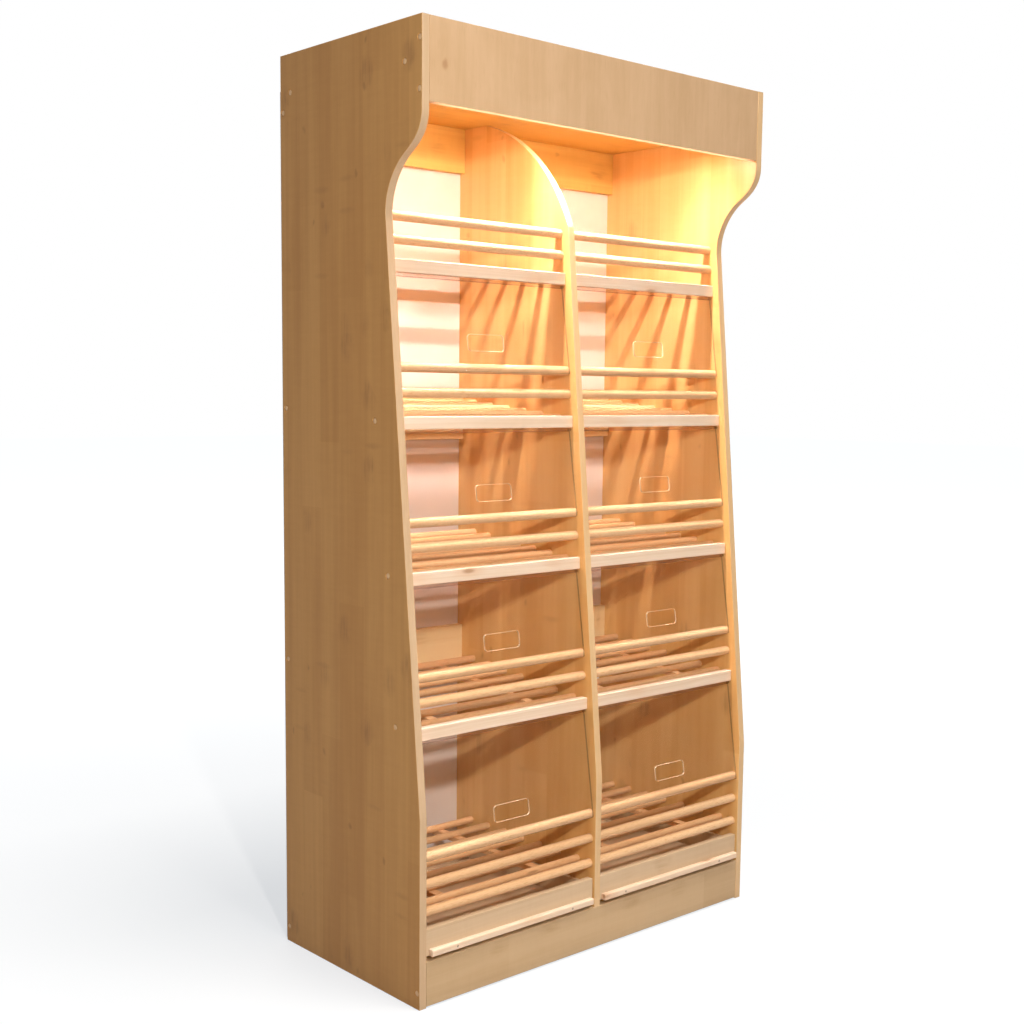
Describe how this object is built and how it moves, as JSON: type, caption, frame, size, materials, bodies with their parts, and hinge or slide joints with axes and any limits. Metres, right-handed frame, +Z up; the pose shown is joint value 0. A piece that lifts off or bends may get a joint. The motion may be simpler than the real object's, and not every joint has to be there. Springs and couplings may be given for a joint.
{
  "type": "bread rack",
  "caption": "Tall wooden bread rack: side panels curved under a lit header, tilted dowel shelves in side-by-side bays, guard rods, clear lift-up flaps and crumb drawers.",
  "frame": {"origin": "on the floor under the middle of the rack's outline seen from above", "axes": "+Z up, -Y out of the open front, +X to the right seen from the front"},
  "size_m": [1, 0.499, 1.931],
  "materials": {
    "laminate": "satin wood-pattern laminate with light edge band",
    "birch": "sanded birch plywood",
    "beech": "turned beech, clear lacquer",
    "pale": "planed pale softwood",
    "white": "white coated hardboard",
    "clear": "clear acrylic sheet",
    "lamp_metal": "white coated profile",
    "diffuser": "opal diffuser, warm white"
  },
  "bodies": {
    "rack": {"side_panel_left": "laminate", "side_panel_right": "laminate", "centre_divider": "laminate", "header_fascia": "birch", "ceiling_panel": "laminate", "lamp_housing": "lamp_metal", "lamp_diffuser": "diffuser", "back_sheet": "white", "back_rail_top_left": "laminate", "back_rail_top_right": "laminate", "back_rail_middle_left": "laminate", "back_rail_middle_right": "laminate", "back_rail_lower_left": "laminate", "back_rail_lower_right": "laminate", "plinth_front": "laminate", "plinth_rear": "laminate", "bottom_panel": "laminate", "shelf_1_board_left": "pale", "shelf_1_grid_left": "beech", "shelf_1_board_right": "pale", "shelf_1_grid_right": "beech", "shelf_1_rod_upper": "beech", "shelf_1_rod_lower": "beech", "shelf_2_board_left": "pale", "shelf_2_grid_left": "beech", "shelf_2_board_right": "pale", "shelf_2_grid_right": "beech", "shelf_2_rod_upper": "beech", "shelf_2_rod_lower": "beech", "shelf_3_board_left": "pale", "shelf_3_grid_left": "beech", "shelf_3_board_right": "pale", "shelf_3_grid_right": "beech", "shelf_3_rod_upper": "beech", "shelf_3_rod_lower": "beech", "shelf_4_board_left": "pale", "shelf_4_grid_left": "beech", "shelf_4_board_right": "pale", "shelf_4_grid_right": "beech", "shelf_4_rod_upper": "beech", "shelf_4_rod_lower": "beech", "floor_rod_lower": "beech", "floor_rod_middle": "beech", "floor_rod_upper": "beech", "floor_grid_left": "beech", "floor_grid_right": "beech"},
    "flap_1_left": {"flap_1_left": "clear"},
    "flap_1_right": {"flap_1_right": "clear"},
    "flap_2_left": {"flap_2_left": "clear"},
    "flap_2_right": {"flap_2_right": "clear"},
    "flap_3_left": {"flap_3_left": "clear"},
    "flap_3_right": {"flap_3_right": "clear"},
    "flap_4_left": {"flap_4_left": "clear"},
    "flap_4_right": {"flap_4_right": "clear"},
    "drawer_left": {"drawer_front_left": "laminate", "drawer_tray_left": "laminate", "drawer_pull_left": "pale"},
    "drawer_right": {"drawer_front_right": "laminate", "drawer_tray_right": "laminate", "drawer_pull_right": "pale"}
  },
  "joints": [
    {"name": "flap_1_left_lift", "type": "hinge", "parent": "rack", "child": "flap_1_left", "pos_m": [-0.2455, -0.11095, 1.463], "axis": [-1, 0, 0], "range_deg": [0, 80]},
    {"name": "flap_1_right_lift", "type": "hinge", "parent": "rack", "child": "flap_1_right", "pos_m": [0.2455, -0.11095, 1.463], "axis": [-1, 0, 0], "range_deg": [0, 80]},
    {"name": "flap_2_left_lift", "type": "hinge", "parent": "rack", "child": "flap_2_left", "pos_m": [-0.2455, -0.14077, 1.154], "axis": [-1, 0, 0], "range_deg": [0, 80]},
    {"name": "flap_2_right_lift", "type": "hinge", "parent": "rack", "child": "flap_2_right", "pos_m": [0.2455, -0.14077, 1.154], "axis": [-1, 0, 0], "range_deg": [0, 80]},
    {"name": "flap_3_left_lift", "type": "hinge", "parent": "rack", "child": "flap_3_left", "pos_m": [-0.2455, -0.17059, 0.845], "axis": [-1, 0, 0], "range_deg": [0, 80]},
    {"name": "flap_3_right_lift", "type": "hinge", "parent": "rack", "child": "flap_3_right", "pos_m": [0.2455, -0.17059, 0.845], "axis": [-1, 0, 0], "range_deg": [0, 80]},
    {"name": "flap_4_left_lift", "type": "hinge", "parent": "rack", "child": "flap_4_left", "pos_m": [-0.2455, -0.20041, 0.536], "axis": [-1, 0, 0], "range_deg": [0, 80]},
    {"name": "flap_4_right_lift", "type": "hinge", "parent": "rack", "child": "flap_4_right", "pos_m": [0.2455, -0.20041, 0.536], "axis": [-1, 0, 0], "range_deg": [0, 80]},
    {"name": "drawer_left_slide", "type": "slide", "parent": "rack", "child": "drawer_left", "axis": [0, -1, 0], "range_m": [0, 0.3]},
    {"name": "drawer_right_slide", "type": "slide", "parent": "rack", "child": "drawer_right", "axis": [0, -1, 0], "range_m": [0, 0.3]}
  ]
}
